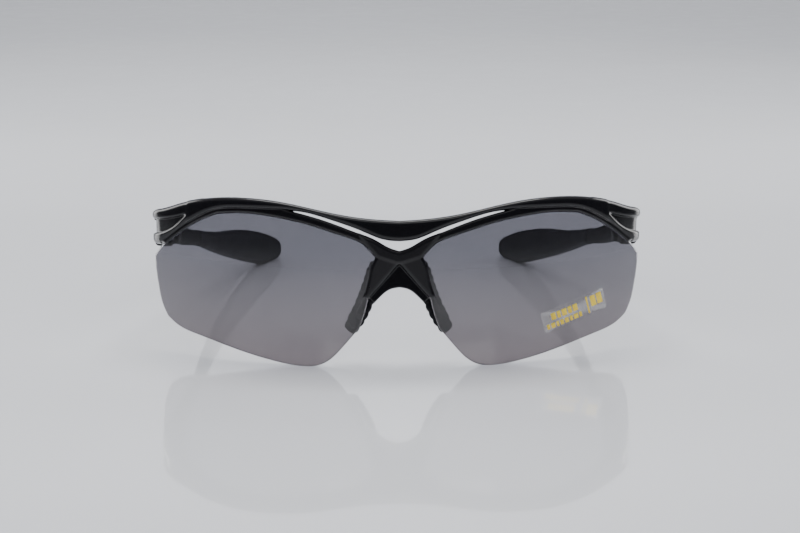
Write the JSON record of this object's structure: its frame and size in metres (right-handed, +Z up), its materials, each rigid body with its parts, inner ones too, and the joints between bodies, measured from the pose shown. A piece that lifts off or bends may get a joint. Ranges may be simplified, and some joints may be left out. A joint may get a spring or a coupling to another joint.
{
  "type": "safety glasses",
  "caption": "Half-rim wraparound safety glasses with clear lenses, a crossed bridge, ribbed slip-on nose pads and folding temples with soft rubber tips",
  "frame": {"origin": "top of the nose arch, on the plane of symmetry, at the front of the bridge", "axes": "+X is the wearer's left, +Y runs back towards the ears, +Z is up; the glasses stand on the lens edges and temple tips"},
  "size_m": [0.1524, 0.1423, 0.0527],
  "materials": {
    "frame_nylon": "gloss moulded black nylon",
    "lens_clear": "clear polycarbonate",
    "label_film": "clear printed film",
    "pad_rubber": "satin moulded rubber",
    "tip_rubber": "satin moulded rubber",
    "screw_steel": "turned",
    "insert_brass": "turned"
  },
  "bodies": {
    "front": {"front_frame": "frame_nylon", "lens_left": "lens_clear", "lens_right": "lens_clear", "lens_label": "label_film", "nose_pad_left": "pad_rubber", "nose_pad_right": "pad_rubber", "hinge_screw_left": "screw_steel", "hinge_screw_right": "screw_steel", "hinge_insert_left": "insert_brass", "hinge_insert_right": "insert_brass"},
    "temple_left": {"temple_left": "frame_nylon", "temple_tip_left": "tip_rubber"},
    "temple_right": {"temple_right": "frame_nylon", "temple_tip_right": "tip_rubber"}
  },
  "joints": [
    {"name": "temple_left_fold", "type": "hinge", "parent": "front", "child": "temple_left", "pos_m": [0.0702, 0.0318, 0.01165], "axis": [0, 0, 1], "range_deg": [0, 86]},
    {"name": "temple_right_fold", "type": "hinge", "parent": "front", "child": "temple_right", "pos_m": [-0.0702, 0.0318, 0.01165], "axis": [0, 0, -1], "range_deg": [0, 76]}
  ]
}
